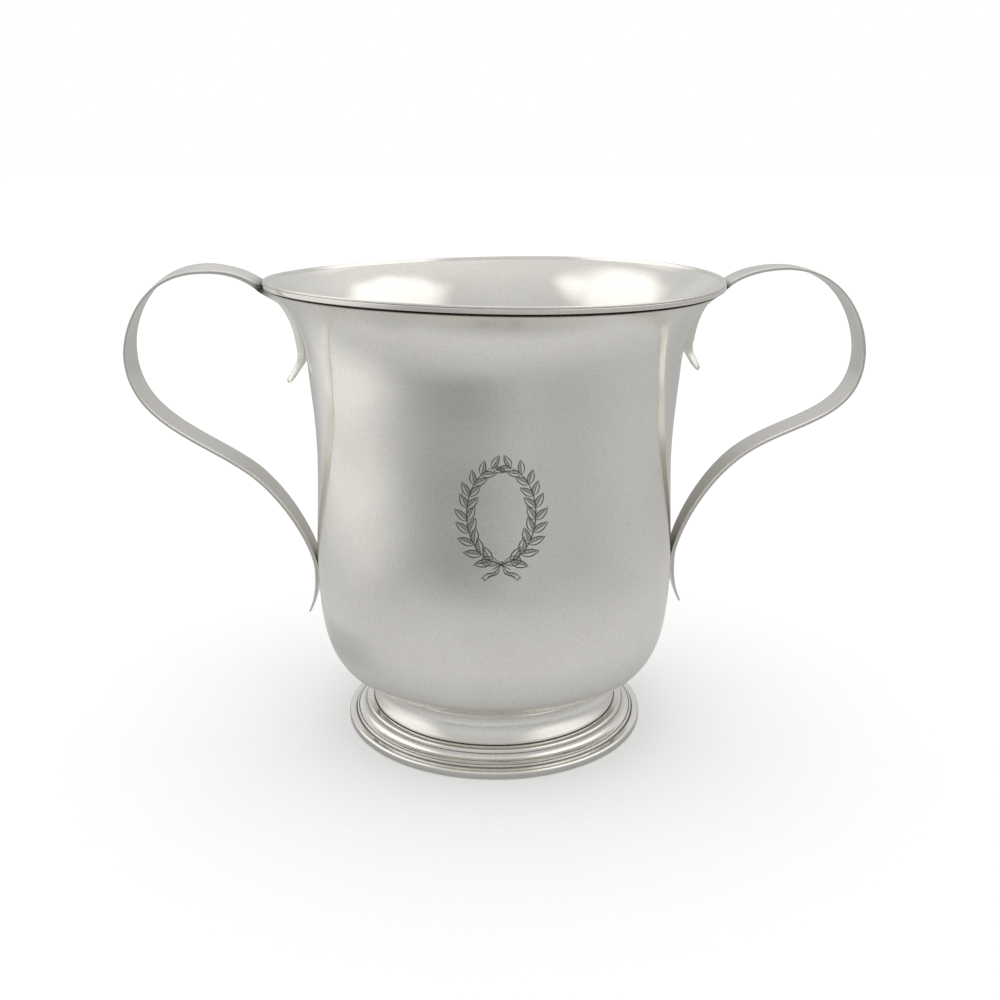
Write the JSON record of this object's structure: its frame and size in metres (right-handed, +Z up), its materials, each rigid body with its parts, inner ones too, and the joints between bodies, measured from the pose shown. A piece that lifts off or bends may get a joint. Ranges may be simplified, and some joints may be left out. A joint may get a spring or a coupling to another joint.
{
  "type": "two-handled silver cup",
  "caption": "Bell-shaped raised silver drinking cup with a flaring wired rim, a low stepped moulded foot and open S-scroll strap handles with flicked tails",
  "frame": {"origin": "centre of the cup's axis on the table plane, under the middle of the foot", "axes": "+Z up along the cup's axis, +X through the right handle, -Y towards the viewer of the picture"},
  "size_m": [0.189, 0.116, 0.1232],
  "materials": {
    "bowl_silver": "old polished silver, soft with fine scratches",
    "wire_silver": "drawn silver wire, polished on the crests and dull in the grooves",
    "foot_silver": "turned silver with fine rings, dull in the grooves",
    "strap_silver": "rolled silver strip, planished and rubbed bright along its edges"
  },
  "bodies": {
    "root": {"bowl": "bowl_silver", "rim_wire": "wire_silver", "bead_wire": "wire_silver", "foot_collar": "foot_silver", "foot_flange": "foot_silver", "base_wire": "wire_silver", "left_handle": "strap_silver", "right_handle": "strap_silver"}
  },
  "joints": []
}
